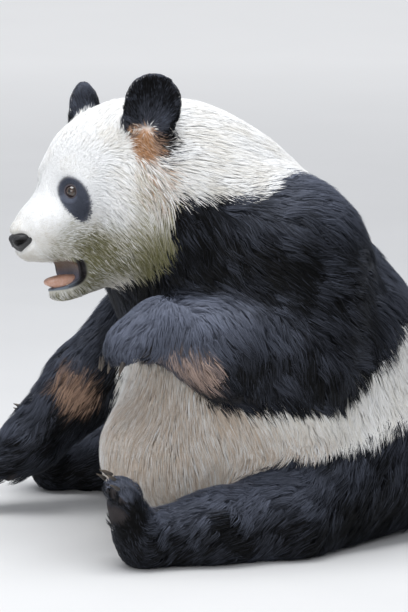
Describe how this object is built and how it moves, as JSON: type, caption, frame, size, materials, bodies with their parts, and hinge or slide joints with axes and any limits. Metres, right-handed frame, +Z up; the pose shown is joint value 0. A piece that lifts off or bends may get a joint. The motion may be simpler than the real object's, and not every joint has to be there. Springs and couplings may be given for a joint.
{
  "type": "giant panda",
  "caption": "Seated giant panda, life size, with its mouth open, one forearm raised in front of the belly, the other forepaw held just above the floor and both hind legs stretched forward.",
  "frame": {"origin": "middle of the seat, on the floor the panda sits on", "axes": "+Z up, -Y the way the trunk faces, +X the animal's own left side"},
  "size_m": [0.7631, 0.8717, 0.8159],
  "materials": {
    "coat_white": "dense woolly fur, creamy white",
    "coat_black": "dense woolly fur, brownish black",
    "nose": "moist pebbled skin, satin",
    "eye": "wet, glossy",
    "claw": "horn, worn satin",
    "mouth": "moist flesh"
  },
  "bodies": {
    "root": {"head": "coat_white", "lower_jaw": "coat_white", "nose": "nose", "tongue": "mouth", "eye_left": "eye", "eye_right": "eye", "ear_left": "coat_black", "ear_right": "coat_black", "upper_arm_left": "coat_black", "forearm_left": "coat_black", "forepaw_left": "coat_black", "thigh_left": "coat_black", "shin_left": "coat_black", "hindpaw_left": "coat_black", "upper_arm_right": "coat_black", "forearm_right": "coat_black", "forepaw_right": "coat_black", "thigh_right": "coat_black", "shin_right": "coat_black", "hindpaw_right": "coat_black", "claw_arm_left_1": "claw", "claw_arm_left_2": "claw", "claw_arm_left_3": "claw", "claw_arm_left_4": "claw", "claw_arm_left_5": "claw", "claw_arm_right_1": "claw", "claw_arm_right_2": "claw", "claw_arm_right_3": "claw", "claw_arm_right_4": "claw", "claw_arm_right_5": "claw", "claw_leg_left_1": "claw", "claw_leg_left_2": "claw", "claw_leg_left_3": "claw", "claw_leg_left_4": "claw", "claw_leg_left_5": "claw", "claw_leg_right_1": "claw", "claw_leg_right_2": "claw", "claw_leg_right_3": "claw", "claw_leg_right_4": "claw", "claw_leg_right_5": "claw", "tail": "coat_white", "abdomen": "coat_white", "neck": "coat_white", "chest": "coat_black"}
  },
  "joints": []
}
